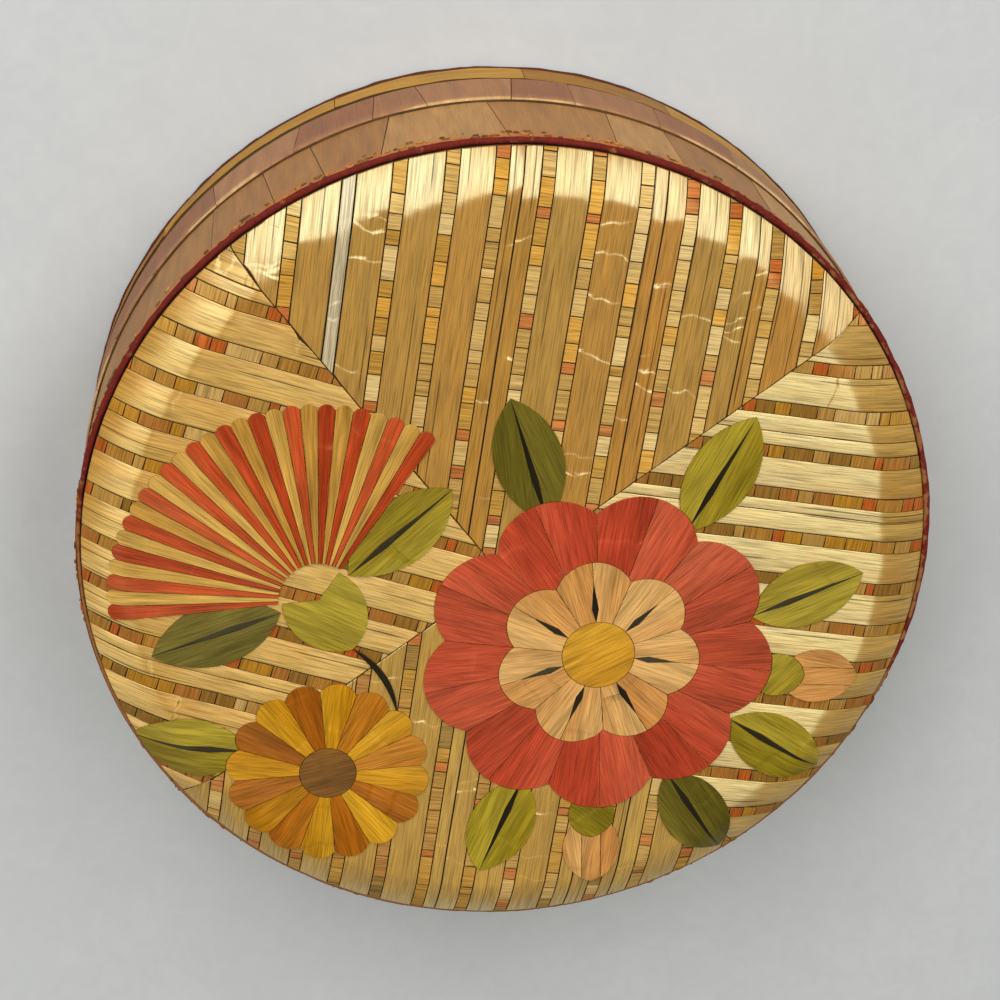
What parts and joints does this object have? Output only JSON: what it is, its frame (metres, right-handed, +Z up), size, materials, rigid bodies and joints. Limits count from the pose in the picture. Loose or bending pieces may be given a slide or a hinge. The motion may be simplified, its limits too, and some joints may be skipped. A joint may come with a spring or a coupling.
{
  "type": "straw jewellery box",
  "caption": "Round lidded trinket box of card dressed in flattened straw, with a mitred straw ground, chequer bands and a flower spray in straw marquetry on the bevelled lid.",
  "frame": {"origin": "centre of the underside, on the surface that the box stands on", "axes": "+Z up along the axis on which the lid lifts off, +X along the east straws of the lid's ground, +Y along its north straws"},
  "size_m": [0.1084, 0.1084, 0.0375],
  "materials": {
    "card": "matt pasteboard",
    "collar_card": "matt pasteboard",
    "lining_paper": "matt lining paper",
    "underside_paper": "matt kraft paper",
    "side_straw": "matt flattened straw",
    "foot_straw": "satin flattened straw",
    "red_edging": "dyed cord",
    "ground_straw": "satin flattened straw",
    "chequer_straw": "satin dyed straw",
    "coral_straw": "satin dyed straw",
    "peach_straw": "satin dyed straw",
    "gold_straw": "satin dyed straw",
    "amber_straw": "satin dyed straw",
    "red_straw": "satin dyed straw",
    "pale_straw": "satin straw",
    "olive_straw": "satin dyed straw",
    "dark_green_straw": "satin dyed straw",
    "brown_straw": "satin dyed straw",
    "black_straw": "satin dyed straw"
  },
  "bodies": {
    "base": {"underside_paper": "underside_paper", "base_board": "card", "base_wall": "card", "inner_collar": "collar_card", "base_floor_lining": "lining_paper", "base_wall_lining": "lining_paper", "base_side_straws": "side_straw", "base_foot_straws": "foot_straw", "base_edging": "red_edging"},
    "lid": {"lid_board": "card", "lid_wall": "card", "lid_wall_lining": "lining_paper", "lid_ceiling_lining": "lining_paper", "lid_side_straws": "side_straw", "lid_edging": "red_edging", "ground_north_straws": "ground_straw", "ground_east_straws": "ground_straw", "ground_south_straws": "ground_straw", "ground_west_straws": "ground_straw", "ground_north_chequers": "chequer_straw", "ground_east_chequers": "chequer_straw", "ground_south_chequers": "chequer_straw", "ground_west_chequers": "chequer_straw", "bloom_outer_petals": "coral_straw", "bloom_inner_petals": "peach_straw", "bloom_heart": "gold_straw", "fan_red_straws": "red_straw", "fan_pale_straws": "pale_straw", "fan_cup": "olive_straw", "daisy_gold_petals": "gold_straw", "daisy_amber_petals": "amber_straw", "daisy_heart": "brown_straw", "peach_buds": "peach_straw", "bud_cups": "olive_straw", "dark_leaves": "dark_green_straw", "olive_leaves": "olive_straw", "dark_strokes": "black_straw"}
  },
  "joints": [
    {"name": "lid_lift", "type": "slide", "parent": "base", "child": "lid", "axis": [0, 0, 1], "range_m": [0, 0.04]}
  ]
}
